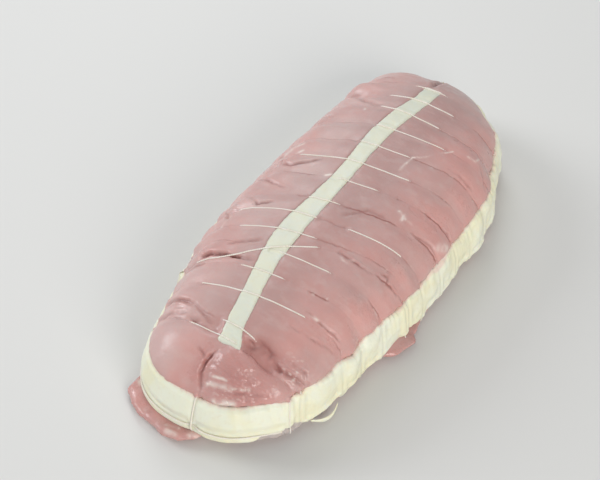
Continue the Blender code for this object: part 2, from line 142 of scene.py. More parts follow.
# Where each loop, by its number, lies bare on the meat: from and to across the roast, in mm to
# the left, and how far it stands out, from 0 for a thread under the skin to 1 for a cord on it
BARE = {"01": ((-9, 20, 0.6),), "02": ((-17, 4, 0.5),), "03": ((-30, 28, 0.75),),
        "04": ((-10, 16, 0.45),), "05": ((-27, 2, 0.5),), "06": ((-8, 34, 0.55),),
        "07": ((-47, -20, 0.8), (-1, 45, 0.45)), "08": ((-6, 12, 0.4),),
        "09": ((-17, 6, 0.45),), "10": ((-25, 37, 1.0),), "11": ((-17, 13, 0.5),),
        "12": ((-29, 13, 0.45),), "13": ((-16, 20, 0.9),), "14": ((-16, 22, 0.9),),
        "15": ((-4, 16, 0.5),), "16": ((-12, 46, 0.9),)}
BURIED = ("near_end", "far_end")   # closed over by the meat above the band
# How deep a crease the loops leave
CREASED = {"03": 0.9, "04": 1.0, "08": 1.1, "09": 1.1, "10": 1.1,
           "16": 1.2, "13": 0.5, "15": 0.4, "07": 0.5}   # 0.7 for the others
# Soft forms of the near end and the flanks: place, reach and height in mm
FORMS = (
    ((-126, 17, 43), (13, 14, 14), 1.6), ((-138, 14, 32), (9, 15, 9), 1.2),
    ((-111, -19, 47), (5, 8, 8), -4.4), ((-113, -29, 43), (5, 7, 8), -3.2),
    ((-100, -24, 50), (6, 10, 8), 1.2), ((-112, 6, 49), (4, 5, 8), -3.0),
    ((-111, 14, 49), (4, 8, 8), -1.8),
    ((-129, -16, 40), (6, 12, 9), 2.2), ((-137, -22, 33), (6, 15, 5), -0.4),
    ((-119, -37, 35), (9, 7, 9), 1.9), ((-103, -45, 38), (6, 7, 8), 1.6),
    ((-124, -8, 44), (6, 6, 6), 1.2), ((-118, -22, 45), (5, 8, 6), 1.0),
    ((-100, 34, 46), (7, 10, 8), 1.5), ((-62, 36, 50), (6, 10, 9), 1.6),
    ((-78, 40, 48), (5, 9, 8), -1.2), ((-46, 44, 48), (7, 8, 9), 1.4),
    ((3, 40, 52), (7, 9, 8), 1.7), ((-25, 42, 51), (7, 9, 8), 1.2),
    ((-9, 43, 50), (4, 8, 8), -1.2), ((20, 44, 50), (6, 8, 8), 1.4),
    ((45, 44, 49), (12, 9, 9), 0.9), ((93, 46, 46), (4, 12, 12), -4.8),
    ((84, 46, 46), (4, 10, 10), 1.6), ((105, 46, 43), (6, 12, 11), 2.8),
    ((-155, 5, 6), (3, 4, 3), 1.0), ((-150, -6, 6), (3, 3, 3), 0.8),
    ((12, -57, 38), (7, 5, 8), 1.5), ((-62, -42, 46), (14, 12, 10), 0.8),
    ((60, -38, 50), (16, 12, 10), 0.8), ((85, -42, 46), (10, 10, 9), 0.9),
    ((-30, -50, 44), (12, 9, 9), 0.9), ((36, -50, 44), (10, 9, 9), 0.9))
# Folds and cuts as lines of places in mm, with half width, depth and the height of the lips
FOLDS = (
    (((-111, -14, 48), (-109, -19, 47), (-107, -24, 45), (-109, -30, 42)), 2.6, 2.0, 0.2),
    (((-111, -29, 42), (-112, -35, 40), (-110, -41, 38), (-106, -46, 33)), 1.1, 1.7, 0.7),
    (((-113, 21, 48), (-113, 11, 49), (-115, 1, 49)), 1.6, 1.9, 0.4),
    (((-104, 24, 49), (-109, 13, 50), (-113, 4, 49)), 1.1, 1.4, 0.3),
    (((-102, 46, 34), (-103, 34, 45), (-104, 25, 49)), 1.1, 1.7, 0.5),
    (((-114, 44, 33), (-112, 36, 41), (-110, 25, 48)), 1.0, 1.0, 0.3),
    (((-122, -3, 45), (-124, -1, 44), (-129, 0, 41), (-133, 0, 38), (-139, -4, 32)),
     1.0, 1.9, 0.3),
    (((-124, 7, 44), (-127, 1, 43)), 0.8, 0.8, 0.3),
    (((-137, -14, 34), (-131, -26, 35), (-124, -35, 33)), 0.8, 0.4, 0.3),
    (((-105, -39, 42), (-104, -45, 38), (-106, -50, 32)), 0.8, 0.9, 0.5),
    (((12, 45, 52), (11, 38, 54), (16, 31, 56), (22, 25, 57)), 1.0, 1.9, 0.6),
    (((12, 45, 51), (22, 50, 46), (22, 55, 42)), 0.9, 1.4, 0.4),
    (((-3, 49, 48), (-6, 40, 53), (-9, 30, 56)), 0.9, 1.3, 0.4),
    (((-22, 45, 51), (-26, 36, 54), (-22, 28, 56)), 0.9, 1.4, 0.4),
    (((-43, 44, 50), (-31, 55, 41)), 0.9, 1.2, 0.4),
    (((-74, 42, 50), (-59, 29, 54), (-52, 16, 57)), 1.0, 1.4, 0.4),
    (((-74, 45, 48), (-70, 38, 51), (-69, 29, 54), (-67, 12, 57)), 1.2, 2.6, 0.7),
    (((-92, 30, 50), (-88, 20, 53)), 0.8, 0.8, 0.2),
    (((70, -1, 57), (58, 4, 58)), 0.9, 0.6, 0.2),
    (((58, -39, 53), (60, -46, 49), (61, -53, 43)), 0.7, 0.9, 0.2),
    (((80, -46, 45), (76, -52, 40), (70, -57, 35)), 0.7, 0.9, 0.2),
    (((5, -45, 49), (9, -56, 41), (9, -61, 33)), 0.8, 1.0, 0.2),
    (((22, -44, 49), (26, -56, 37), (25, -60, 32)), 0.7, 0.8, 0.2),
    (((-36, -24, 57), (-36, -31, 56), (-36, -36, 55), (-35, -44, 51)), 0.8, 2.0, 0.4),
    (((-31, -47, 49), (-29, -50, 47), (-33, -53, 46), (-30, -57, 38)), 0.6, 1.4, 0.4),
    (((-78, -46, 43), (-76, -52, 38)), 0.6, 0.8, 0.2),
    (((121, 42, 41), (121, 34, 44)), 0.7, 0.9, 0.2),
    (((114, 40, 44), (116, 28, 47)), 0.7, 0.9, 0.3),
    (((-12, -11, 58), (0, -20, 57), (2, -32, 54)), 0.9, 0.8, 0.2),
    (((-79, -30, 52), (-79, -40, 48), (-77, -50, 41)), 0.7, 0.9, 0.2),
    (((-92, -28, 51), (-89, -40, 46), (-84, -50, 38)), 0.7, 0.8, 0.2),
    (((91, 52, 36), (89, 45, 44), (85, 34, 50), (83, 22, 54)), 1.6, 1.8, 0.4),
    (((116, 6, 50), (126, 9, 48), (136, 11, 43), (145, 13, 34)), 1.5, 2.0, 0.6))
# White sinew and fat drawn over the surface, and painted highlight streaks on the wet lump: lines of places
# in mm, with half width
SINEWS_AND_GLINT_STREAKS = (
    (((52, -18, 56), (45, -18, 57), (38, -18, 58)), 0.5),
    (((52, -18, 56), (57, -24, 56), (73, -33, 53)), 0.5),
    (((77, -41, 50), (78, -45, 47), (83, -45, 45)), 0.6),
    (((11, -34, 56), (9, -39, 54)), 0.8), (((11, -37, 55), (7, -38, 55)), 0.8),
    (((9, -41, 53), (9, -43, 52)), 0.6),
    # Of the next two lines, the first entry is the lump's white patch; the other three are painted highlight
    # streaks on the wet lump
    (((-141, -14, 31), (-138, -23, 31)), 1.9), (((-136, -7, 36), (-132, -18, 37)), 1.4),
    (((-133, -6, 39), (-130, -15, 39)), 0.8), (((-132, -19, 37), (-129, -27, 37)), 0.9),
    (((-48, 46, 49), (-40, 46, 50)), 0.9), (((20, 51, 47), (27, 48, 49)), 1.3),
    (((29, 47, 49), (32, 43, 51)), 1.0), (((23, 42, 52), (26, 40, 53)), 0.9),
    (((-39, -26, 56), (-40, -31, 55)), 0.4),
    (((-155, 8, 6), (-155, 3, 6)), 1.6), (((-152, 10, 7), (-150, 4, 7)), 1.1),
    (((-151, -4, 6), (-149, -8, 6)), 1.3), (((13, -57, 38), (19, -60, 34)), 2.2),
    (((10, 14, 57), (12, 12, 58)), 0.9), (((-79, -33, 51), (-79, -37, 50)), 0.8),
    (((75, 28, 53), (77, 29, 53)), 0.8))
# The torn lump, wet spots, which also carry painted glints, and red patches, the first of them painted shade
# in the valley, seen from above: middle and reach, and how red
TORN_LUMP = (-0.131, -0.021), (0.014, 0.019)
WET_SPOTS = (((-0.138, -0.024), (0.005, 0.010)), ((-0.108, -0.042), (0.006, 0.007)))
RED_PATCHES_AND_VALLEY_SHADE = (((-0.110, -0.026), (0.008, 0.012), 0.6), ((-0.131, 0.001), (0.010, 0.0035), 0.5),
               ((-0.068, 0.036), (0.010, 0.010), 0.45))
# The tongue of meat on the right: where along the roast, its height, and how far it hangs out
TONGUE_X, TONGUE_REACH = -0.034, 0.013
TONGUE_HEIGHT, TONGUE_THICK, TONGUE_OUT = 0.0045, 0.0042, 0.0072


def soft(low, high, value):
    """Go from 0 at low to 1 at high with soft ends."""
    t = np.clip((value - low) / (high - low), 0.0, 1.0)
    return t * t * (3.0 - 2.0 * t)


def bell(value, middle, reach, power=2):
    """1 at the middle, falling to 0 on both sides of it over about this reach."""
    return np.exp(-((value - middle) / reach) ** power)


def spot(places, middle, reach):
    """1 in the middle of a round place, in the first two directions, and 0 well outside it."""
    across, along = ((places[:, k] - middle[k]) / reach[k] for k in (0, 1))
    return np.exp(-across ** 2 - along ** 2)


def mean_of(values, reach, mode="wrap", **how):
    """Mean over this many neighbours on each side; mode says what lies past the ends."""
    padded = np.pad(values, [(reach, reach)] + [(0, 0)] * (values.ndim - 1), mode=mode, **how)
    return sum(padded[k:k + len(values)] for k in range(2 * reach + 1)) / (2 * reach + 1)


def eased_row(values, reach):
    """The same mean for a row that runs on straight past both ends."""
    return mean_of(values, reach, "reflect", reflect_type="odd")


def vectors_of(items, key):
    """This vector of each vertex or face as a row of three numbers."""
    flat = np.empty(len(items) * 3, np.float32)
    items.foreach_get(key, flat)
    return flat.reshape(-1, 3).astype(float)


def places_of(piece):
    return vectors_of(piece.data.vertices, "co")


def facings_of(piece):
    return vectors_of(piece.data.vertex_normals, "vector")


def move_to(piece, places):
    piece.data.vertices.foreach_set("co", places.astype(np.float32).ravel())
    piece.data.update()


def mark(piece, name, values):
    """Keep a value at each point of a piece for its material to read."""
    attribute = piece.data.attributes.get(name) or piece.data.attributes.new(name, "FLOAT", "POINT")
    attribute.data.foreach_set("value", np.asarray(values, np.float32))


def grain(places, size, seed):
    """Smooth unevenness from -1 to 1 whose lumps are about this size along x, y and z."""
    p = places / np.asarray(size, float) + seed * 7.31
    cell = np.floor(p).astype(np.int64)
    part = p - cell
    part = part * part * (3.0 - 2.0 * part)
    total = np.zeros(len(places))
    for corner in range(8):
        step = np.array((corner & 1, corner >> 1 & 1, corner >> 2 & 1))
        key = (cell + step) @ np.array((73856093, 19349663, 83492791)) + seed * 2654435
        key = (key ^ (key >> 13)) * 1274126177 & 0x7FFFFFFF
        key = (key ^ (key >> 15)) * 2246822519 & 0x7FFFFFFF
        total += np.prod(np.where(step, part, 1.0 - part), axis=1) * ((key >> 8) % 4096 / 2047.5 - 1)
    return total


def ridges(places, size, seed):
    """The same unevenness with sharp crests."""
    return 1.0 - 2.0 * abs(grain(places, size, seed))


def merged_copy(node, name):
    """A copy of a CAD node as a piece of its own, with its loose triangles merged."""
    only(nodes[node])
    bpy.ops.object.duplicate()
    piece = bpy.context.object
    piece.name = piece.data.name = name
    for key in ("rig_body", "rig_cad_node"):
        del piece[key]
    piece.parent = None
    bpy.ops.object.mode_set(mode="EDIT")
    bpy.ops.mesh.select_all(action="SELECT")
    bpy.ops.mesh.remove_doubles(threshold=1e-5)
    bpy.ops.object.mode_set(mode="OBJECT")
    piece.data.materials.clear()
    return piece


def lengths_along(line):
    """How far along a line each of its places is."""
    return np.concatenate([[0.0], np.cumsum(np.linalg.norm(np.diff(line, axis=0), axis=1))])


def respaced(line, step, closed):
    """A line's course in even steps of about this length, and how far along it each one is."""
    length = lengths_along(line)
    at = np.linspace(0.0, length[-1], int(length[-1] / step), endpoint=not closed)
    return np.stack([np.interp(at, length, row) for row in line.T], axis=1), at


def unit(rows):
    """The same directions, each of length 1."""
    return rows / np.linalg.norm(rows, axis=1)[:, None]


def twine_run(node, step=0.0005, ease=3):
    """Middle line of a twine node: its rings of four corners in order, drawn taut and smooth."""
    bm = bmesh.new()
    bm.from_mesh(nodes[node].data)
    bmesh.ops.remove_doubles(bm, verts=bm.verts[:], dist=1e-6)
    bm.verts.index_update()
    ring = list(range(len(bm.verts)))

    def first_of(i):
        while ring[i] != i:
            i = ring[i]
        return i

    for edge in bm.edges:
        if edge.calc_length() < 2.4 * TWINE_RADIUS:
            ring[first_of(edge.verts[0].index)] = first_of(edge.verts[1].index)
    corners, beside = {}, {}
    for vert in bm.verts:
        corners.setdefault(first_of(vert.index), []).append(vert.co.copy())
    for edge in bm.edges:
        a, b = (first_of(v.index) for v in edge.verts)
        if a != b:
            beside.setdefault(a, set()).add(b)
            beside.setdefault(b, set()).add(a)
    bm.free()
    ends = [k for k, near in beside.items() if len(near) == 1]
    closed = not ends
    walk = [ends[0] if ends else next(iter(beside))]
    while True:
        further = [k for k in beside[walk[-1]] if k not in walk]
        if not further:
            break
        walk.append(further[0])
    knots = np.array([sum(corners[k], Vector()) / len(corners[k]) for k in walk])
    if closed:
        knots = np.vstack([knots, knots[:1]])
    run, _ = respaced(knots, step, closed)
    for _ in range(ease):
        eased = mean_of(run, 3, "wrap" if closed else "edge")
        run = eased if closed else np.vstack([run[:1], eased[1:-1], run[-1:]])
    return run, closed


def tree_of(piece):
    verts = [v.co for v in piece.data.vertices]
    return BVHTree.FromPolygons(verts, [p.vertices[:] for p in piece.data.polygons])


def finder(points):
    """A tree that finds the nearest of these points."""
    tree = KDTree(len(points))
    for i, place in enumerate(points):
        tree.insert(place, i)
    tree.balance()
    return tree


def heart_of(run):
    """Nearest place to each on the heart of the roast, a narrow bar along its middle."""
    return np.clip(run, (-0.10, -0.01, 0.02), (0.10, 0.01, 0.022))


# where the strip of fat runs and how high it stands, from rays down onto its solid
DOWN = Vector((0.0, 0.0, -1.0))
STRIP_STEP, STRIP_IN = 0.0006, 0.0004   # along the strip, and how far the rows stay off its ends
ACROSS_STRIP = np.arange(-0.022, 0.026, 0.0003)
strip_solid = tree_of(nodes["bard_strip"])
strip_ends = places_of(nodes["bard_strip"])[:, 0]
strip_x = np.arange(strip_ends.min() + STRIP_IN, strip_ends.max() - STRIP_IN, STRIP_STEP)
strip_low, strip_high, strip_top = [], [], []
for x in strip_x:
    hits = [(y, strip_solid.ray_cast(Vector((x, y, RAY_FROM)), DOWN)[0]) for y in ACROSS_STRIP]
    hits = [(y, hit.z) for y, hit in hits if hit is not None]
    strip_low.append(hits[0][0])
    strip_high.append(hits[-1][0])
    strip_top.append(hits[len(hits) // 2][1])
strip_top = eased_row(eased_row(np.array(strip_top), 9), 9) + 0.0005


def strip_under(places):
    """How far each place is beside the strip of fat, less than 0 over it, and the strip's height."""
    rows = (strip_low, strip_high, strip_top)
    low, high, top = (np.interp(places[:, 0], strip_x, row) for row in rows)
    beside = np.maximum(low - places[:, 1], places[:, 1] - high)
    past = np.maximum(strip_x[0] - places[:, 0], places[:, 0] - strip_x[-1])
    return np.maximum(beside, past), top


def over_band(places):
    """From 0 at the edge of the band to 1 just above it."""
    return soft(BAND_EDGE - 0.001, BAND_EDGE + 0.004, places[:, 2])


runs = {name: twine_run(name) for name in sorted(nodes) if name.startswith("twine")}


def nearest_twine(places):
    """Nearest place on the twine for each point, and how far away it is."""
    found = np.array([laid_tree.find(place)[1:] for place in places])
    return found[:, 0].astype(int), found[:, 1]


def close_to(places, line, reach):
    """Which places lie in a box of this reach round the middle of a line."""
    return np.all(abs(places - np.array(line).mean(axis=0) * MM) < reach, axis=1)


def line_distance(places, line):
    """How far each place is from a line on the meat, and the share of its length reached."""
    knots = np.array([meat_skin.find_nearest(Vector(knot) * MM)[0] for knot in line])
    steps = np.linalg.norm(np.diff(knots, axis=0), axis=1)
    best, share, gone = np.full(len(places), 1.0), np.zeros(len(places)), 0.0
    for a, b, step in zip(knots, knots[1:], steps):
        t = np.clip((places - a) @ (b - a) / step ** 2, 0.0, 1.0)
        away = np.linalg.norm(places - a - t[:, None] * (b - a), axis=1)
        nearer = away < best
        best[nearer], share[nearer] = away[nearer], (gone + t[nearer] * step) / steps.sum()
        gone += step
    return best, share


def edit_faces(piece, chosen):
    """Open a piece in edit mode with these faces selected."""
    only(piece)
    mesh = piece.data
    mesh.vertices.foreach_set("select", np.zeros(len(mesh.vertices), bool))
    mesh.edges.foreach_set("select", np.zeros(len(mesh.edges), bool))
    mesh.polygons.foreach_set("select", chosen)
    bpy.context.tool_settings.mesh_select_mode = (False, False, True)
    bpy.ops.object.mode_set(mode="EDIT")


def face_places(piece):
    faces = piece.data.polygons
    return vectors_of(faces, "center"), vectors_of(faces, "normal")


def modify(piece, kind, **settings):
    """Give the active piece a modifier with these settings and apply it."""
    modifier = piece.modifiers.new("change", kind)
    for key, value in settings.items():
        setattr(modifier, key, value)
    bpy.ops.object.modifier_apply(modifier="change")


meat = merged_copy("veal", "veal_meat")
modify(meat, "REMESH", mode="VOXEL", voxel_size=VOXEL)
modify(meat, "SMOOTH", factor=0.5, iterations=6)
# the crown is drawn smooth across the loops, less so over the torn near end
crown = meat.vertex_groups.new(name="crown")
places = places_of(meat)
x, y, z = places.T
eased = soft(BAND_EDGE - 0.002, BAND_EDGE + 0.003, z)
eased *= 0.25 + 0.75 * soft(-0.116, -0.098, x)
eased *= 1.0 - 0.65 * soft(0.032, 0.046, y)
for i in np.nonzero(eased > 0.0)[0]:
    crown.add((int(i),), float(eased[i]), "REPLACE")
modify(meat, "SMOOTH", factor=0.5, iterations=CROWN_EASE, vertex_group="crown")
meat.vertex_groups.clear()
move_to(meat, places_of(meat) + facings_of(meat) * (CROWN_OUT * eased)[:, None])

# the crown rises or sinks to just below the top of the strip, then takes its forms
skin = tree_of(meat)
needed = []
for row, out in ((strip_low, -0.0005), (strip_high, 0.0005)):
    found = [skin.ray_cast(Vector((x, y + out, RAY_FROM)), DOWN)[0].z for x, y in zip(strip_x, row)]
    needed.append(eased_row(strip_top - 0.00040 - np.array(found), 12))
places = places_of(meat)
x, y, z = places.T
beside, top = strip_under(places)
middle = (np.array(strip_low) + np.array(strip_high)) / 2.0
left_of = soft(-0.003, 0.003, y - np.interp(x, strip_x, middle))
need_right, need_left = (np.interp(x, strip_x, row) for row in needed)
need = (1.0 - left_of) * need_right + left_of * need_left
z += need * (1.0 - soft(0.0, 0.022, beside)) * (z > 0.036)
move_to(meat, places)
facings = facings_of(meat)
rise = 0.0008 * bell(z, 0.0315, 0.0035)
for place, reach, height in FORMS:
    off = (places - np.array(place) * MM) / (np.array(reach) * MM)
    rise += height * MM * np.exp(-(off ** 2).sum(axis=1))
rise += over_band(places) * 0.00045 * grain(places, (0.019, 0.014, 0.014), 8)
places += facings * (rise * soft(-0.0010, 0.0030, beside))[:, None]
z -= 0.0012 * soft(0.0, -0.0010, beside)
over = (z > TOP_SIDE) * (1.0 - soft(0.0, 0.0016, beside))
z -= over * np.maximum(z - top + 0.00040, 0.0)
# a tongue of meat hangs out from under the band on the right
tongue = bell(x, TONGUE_X, TONGUE_REACH, 4) * bell(z, TONGUE_HEIGHT, TONGUE_THICK)
tongue *= soft(-0.042, -0.054, y)
y -= tongue * (TONGUE_OUT + 0.0016 * grain(places, (0.006, 0.02, 0.004), 18))
move_to(meat, places)

# the loops are laid taut over meat and strip, and go under where the meat has closed over them
LAID_FROM, LAID_TO = 0.0290, 0.0345     # heights over which a loop takes to the meat
SUNK_BARE, SUNK_BURIED, SUNK_VALLEY = 0.0011, 0.0032, 0.0025
SUNK_IN_BAND = 0.0012
OVER_STRIP, OVER_EDGE = 0.00045, 0.0012   # how far a loop's middle lies over the strip and its edge
meat_skin = tree_of(meat)
laid, laid_bare, laid_depth = [], [], []
for seed, (name, (run, closed)) in enumerate(runs.items()):
    x, y, z = run.T
    bare = np.zeros(len(run))
    number, buried = name[6:], name[6:] in BURIED
    for low, high, out in BARE.get(number, ()):
        bare = np.maximum(bare, out * soft(low - 4, low + 4, y / MM)
                          * (1.0 - soft(high - 4, high + 4, y / MM)))
    bare *= soft(0.038, 0.043, z)
    heart = heart_of(run)
    course = run - heart
    now = np.linalg.norm(course, axis=1)
    course /= now[:, None]
    stand = now.copy()
    for i in np.nonzero(z > LAID_FROM)[0]:
        hit = meat_skin.ray_cast(Vector(heart[i]), Vector(course[i]), RAY_FROM)
        stand[i] = hit[3] if hit[0] is not None else now[i]
    beside, _ = strip_under(run)
    on_strip = (1.0 - soft(-0.0002, 0.0008, beside)) * (z > TOP_SIDE) * (not buried)
    stand += (OVER_STRIP + OVER_EDGE * soft(0.0, -0.0010, beside)) * on_strip
    lowest = stand + 0.00016
    past_ends = "wrap" if closed else "edge"
    for _ in range(3):
        stand = mean_of(stand, 5, past_ends)
    stand += on_strip * np.maximum(lowest - stand, 0.0)
    stand = mean_of(stand, 2, past_ends)
    valley = soft(-0.100, -0.106, x) * soft(-0.009, -0.016, y) * (z > 0.030)
    deep = (SUNK_BURIED if buried else SUNK_BARE) + SUNK_VALLEY * valley
    stand -= deep * (1.0 - np.minimum(1.0, 2.5 * bare))
    laid_on = soft(LAID_FROM, LAID_TO, z)
    now -= SUNK_IN_BAND * soft(-0.03, -0.05, y) * soft(-0.108, -0.096, x) * soft(0.006, 0.009, z)
    run = heart + course * (now * (1.0 - laid_on) + stand * laid_on)[:, None]
    runs[name] = run, closed
    x, y, z = run.T
    bare = np.maximum(bare, 0.8 * (1.0 - soft(0.026, 0.030, z)))
    gone = np.arange(len(run))[:, None] * (0.0005, 0.0, 0.0)
    depth = CREASED.get(number, 0.7) * (0.06 + 0.94 * soft(-0.15, 0.55, grain(gone, 0.012, 90 + seed)))
    depth *= 0.6 + 0.4 * soft(0.0, -0.022, y)
    laid.append(run)
    laid_bare.append(bare)
    laid_depth.append(depth * (0.5 if buried else 1.0) * (1.0 - valley))
laid, laid_bare, laid_depth = np.vstack(laid), np.concatenate(laid_bare), np.concatenate(laid_depth)
laid_tree = finder(laid)

# the underside and the meat behind the band are thinned out, the creases and the near end refined
centres, facing = face_places(meat)
low, high = BEHIND_BAND
unseen = (centres[:, 2] < 0.0025) & (facing[:, 2] < -0.8)
unseen |= (centres[:, 2] > low) & (centres[:, 2] < high) & (abs(facing[:, 2]) < 0.5)
edit_faces(meat, unseen)
bpy.ops.mesh.decimate(ratio=0.12)
bpy.ops.object.mode_set(mode="OBJECT")
centres, facing = face_places(meat)
_, off_twine = nearest_twine(centres)
fine = (off_twine < 0.0018) & (centres[:, 2] > 0.030)
fine |= (centres[:, 0] < -0.098) & (centres[:, 1] < 0.004) & (centres[:, 2] > 0.029)
edit_faces(meat, fine)
bpy.ops.mesh.subdivide(number_cuts=1)
bpy.ops.object.mode_set(mode="OBJECT")

places, facings = places_of(meat), facings_of(meat)
x, y, z = places.T
above_band = over_band(places)
foot = 1.0 - soft(0.0065, 0.0085, z)
flank = soft(0.010, 0.050, abs(y)) * above_band
beside, _ = strip_under(places)
# soft wrinkles run across the roast, as the loops do, and grow down the flanks
WRINKLE_LEAN = 0.16
slant = places.copy()
slant[:, 0] += WRINKLE_LEAN * slant[:, 1]
wrinkle = grain(slant, (0.0055, 0.022, 0.022), 3)
wrinkled = above_band * (0.45 + 0.55 * flank)
rise = wrinkled * 0.00011 * wrinkle
rise += wrinkled * 0.00018 * ridges(slant, (0.010, 0.026, 0.024), 5)
rise += foot * 0.00010 * grain(places, (0.0024, 0.0030, 0.0030), 9)
# the front lump is torn and rough, and so is the foot below it
torn = spot(places, *TORN_LUMP) * soft(0.027, 0.031, z)
rise += torn * (0.00070 * grain(places, (0.0034, 0.0062, 0.0034), 12)
                + 0.00045 * ridges(places, (0.0044, 0.0090, 0.0050), 14)
                + 0.00042 * grain(places, (0.0014, 0.0026, 0.0014), 13))
near_foot = foot * soft(-0.105, -0.125, x)
rise += near_foot * 0.0015 * grain(places, (0.008, 0.008, 0.005), 15)
# folds and creases waver, because each place is looked up a little beside itself
unsteady = places.copy()
for aside, size, seeds in ((0.0006, 0.0055, (23, 24, 25)), (0.0004, 0.0022, (26, 27, 28))):
    unsteady += aside * np.stack([grain(places, size, seed) for seed in seeds], axis=1)
# crease_shade is painted shade: the meat's colour darkens along folds and creases, more where they are deep
# and narrow
crease_shade = np.zeros(len(places))
for line, half, depth, lips in FOLDS:
    close = close_to(places, line, 0.035)
    away_here, share = line_distance(unsteady[close], line)
    t = away_here / (half * MM)
    fade = np.minimum(1.0, 4.0 * np.minimum(share, 1.0 - share) + 0.35)
    fade *= 0.5 + 0.5 * soft(-0.5, 0.3, grain(places[close], 0.006, 29))
    rise[close] += fade * MM * (lips * bell(t, 2.0, 1.0) - depth * bell(t, 0.0, 1.0))
    shade_amount = min(depth * 0.6, 1.0) * min(1.1 / half, 1.0)
    crease_shade[close] = np.maximum(crease_shade[close], fade * shade_amount * bell(t, 0.0, 0.9))
# each loop that the meat has closed over leaves a thin crease, deeper here and there
nearest, off_twine = nearest_twine(unsteady)
sunk = (1.0 - np.minimum(1.0, 1.6 * laid_bare[nearest])) * laid_depth[nearest] * above_band
above_twine = ((unsteady - laid[nearest]) * facings).sum(axis=1)
beside_twine = np.sqrt(np.maximum(off_twine ** 2 - above_twine ** 2, 0.0))
crease = bell(beside_twine, 0.0, 0.0005)
rise -= sunk * (0.0009 * crease + 0.00028 * bell(beside_twine, 0.0, 0.0028))
rise += 0.00018 * flank * soft(0.003, 0.0075, off_twine)
rise *= soft(-0.0002, 0.0030, beside)
# the thin creases of the loops also get painted shade in the colour
crease_shade = np.maximum(crease_shade, sunk * crease)
# painted highlights: pale glint flecks along the creases of the flanks and over the wet spots stand in for
# sparkles of wet meat
glint_flecks = sunk * flank * bell(beside_twine, 0.0008, 0.0008) * soft(0.45, 0.75, grain(places, 0.0017, 33))
wet_spots = sum(spot(places, *place) for place in WET_SPOTS)
glint_flecks += 0.8 * above_band * wet_spots * soft(0.42, 0.75, grain(places, (0.0013, 0.0022, 0.0013), 34))
places += facings * rise[:, None]

# the meat keeps just below a loop that lies bare, and closes over one that doesn't
FOOT_TOP, COVER = 0.024, 0.00062
for _ in range(2):
    nearest, off_twine = nearest_twine(places)
    bare = laid_bare[nearest]
    height_now = ((places - laid[nearest]) * facings).sum(axis=1)
    height_bare = 0.00028 - 0.00042 * bare + 0.0001 * soft(0.0002, 0.0020, off_twine)
    over_foot = z > FOOT_TOP
    shown = np.minimum(1.0, 2.5 * bare) * over_foot
    lift = shown * (1.0 - soft(0.0007, 0.0026, off_twine)) * (height_bare - height_now)
    lift = np.where(lift > 0.0, lift * soft(0.0004, 0.0024, beside), lift)
    hidden = (over_foot - shown) * (beside > 0.0) * (1.0 - soft(0.0006, 0.0026, off_twine))
    lift += hidden * np.maximum(COVER - height_now, 0.0)
    places += facings * lift[:, None]
z[:] = np.maximum(z, 0.0)

# white sinew and fat, the painted highlight streaks and the painted glint flecks go into one mark, raised a
# little
sinew = np.zeros(len(places))
for line, half in SINEWS_AND_GLINT_STREAKS:
    close = close_to(places, line, 0.025)
    away_here, share = line_distance(places[close], line)
    worn = 0.30 + 0.75 * soft(-0.5, 0.5, grain(places[close], 0.0024, 21))
    sinew[close] = np.maximum(sinew[close], worn * bell(away_here, 0.0, half * MM))
sinew = np.clip(np.maximum(sinew, 0.8 * glint_flecks), 0.0, 1.0)
places += facings * (0.00018 * sinew)[:, None]
move_to(meat, places)
only(meat)
bpy.ops.object.shade_smooth()

# marks for the material: where the meat is creased (painted shade), white (sinew and fat, with painted
# glints), red (with painted shade in the valley), filmed over (partly painted sheen), dull or wet
# besides the real red of the torn lump and the foot, the first red patch is painted shade in the valley
# behind the lump; the right side is made a little redder
redness = 0.85 * torn + 0.35 * foot
for middle, reach, share in RED_PATCHES_AND_VALLEY_SHADE:
    redness += share * spot(places, middle, reach) * above_band
redness += (0.15 * soft(0.0, -0.03, y) * above_band
            * soft(0.1, 0.8, grain(slant, (0.006, 0.02, 0.02), 17)))
# a pale film over the left side and the far end, partly painted sheen
film_and_sheen = np.maximum(soft(0.004, 0.024, y), soft(0.104, 0.130, x)) * above_band
film_and_sheen *= 0.45 + 0.55 * soft(-0.5, 0.6, grain(places, 0.014, 19))
fatty = near_foot * soft(0.45, 0.85, grain(places, 0.006, 31))
dull = (1.0 - soft(0.012, 0.036, abs(y))) * soft(-0.125, -0.105, x) * above_band
wet = torn + wet_spots + 0.5 * foot + 0.35 * flank * soft(0.0, 0.7, wrinkle)
for name, values in (("crease", crease_shade), ("sinew", np.maximum(sinew, 0.7 * fatty)), ("redness", redness),
                     ("film", film_and_sheen), ("crown", dull), ("wetness", wet)):
    mark(meat, name, np.clip(values, 0.0, 1.0))


def add_node(tree, kind, settings=(), **values):
    """A shader node with its settings and the values of its input sockets."""
    node = tree.nodes.new(kind)
    for key, value in dict(settings).items():
        setattr(node, key, value)
    for socket, value in values.items():
        node.inputs[socket.replace("_", " ")].default_value = value
    return node


def feed(tree, *pairs):
    """Give each socket its value, by a link where the value is a socket itself."""
    for socket, value in pairs:
        if hasattr(value, "links"):
            tree.links.new(value, socket)
        else:
            socket.default_value = value


def mix_colour(tree, amount, first, second):
    """Colour between first and second by amount; each is a socket or a fixed value."""
    node = add_node(tree, "ShaderNodeMix", {"data_type": "RGBA"})
    feed(tree, (node.inputs[0], amount), (node.inputs[6], first), (node.inputs[7], second))
    return node.outputs[2]


def sum_of(tree, kind, first, second):
    """A Math node of the kind named, on sockets or numbers."""
    node = add_node(tree, "ShaderNodeMath", {"operation": kind, "use_clamp": False})
    feed(tree, *zip(node.inputs, (first, second)))
    return node.outputs[0]


def read_mark(tree, name):
    return add_node(tree, "ShaderNodeAttribute", {"attribute_name": name}).outputs["Fac"]


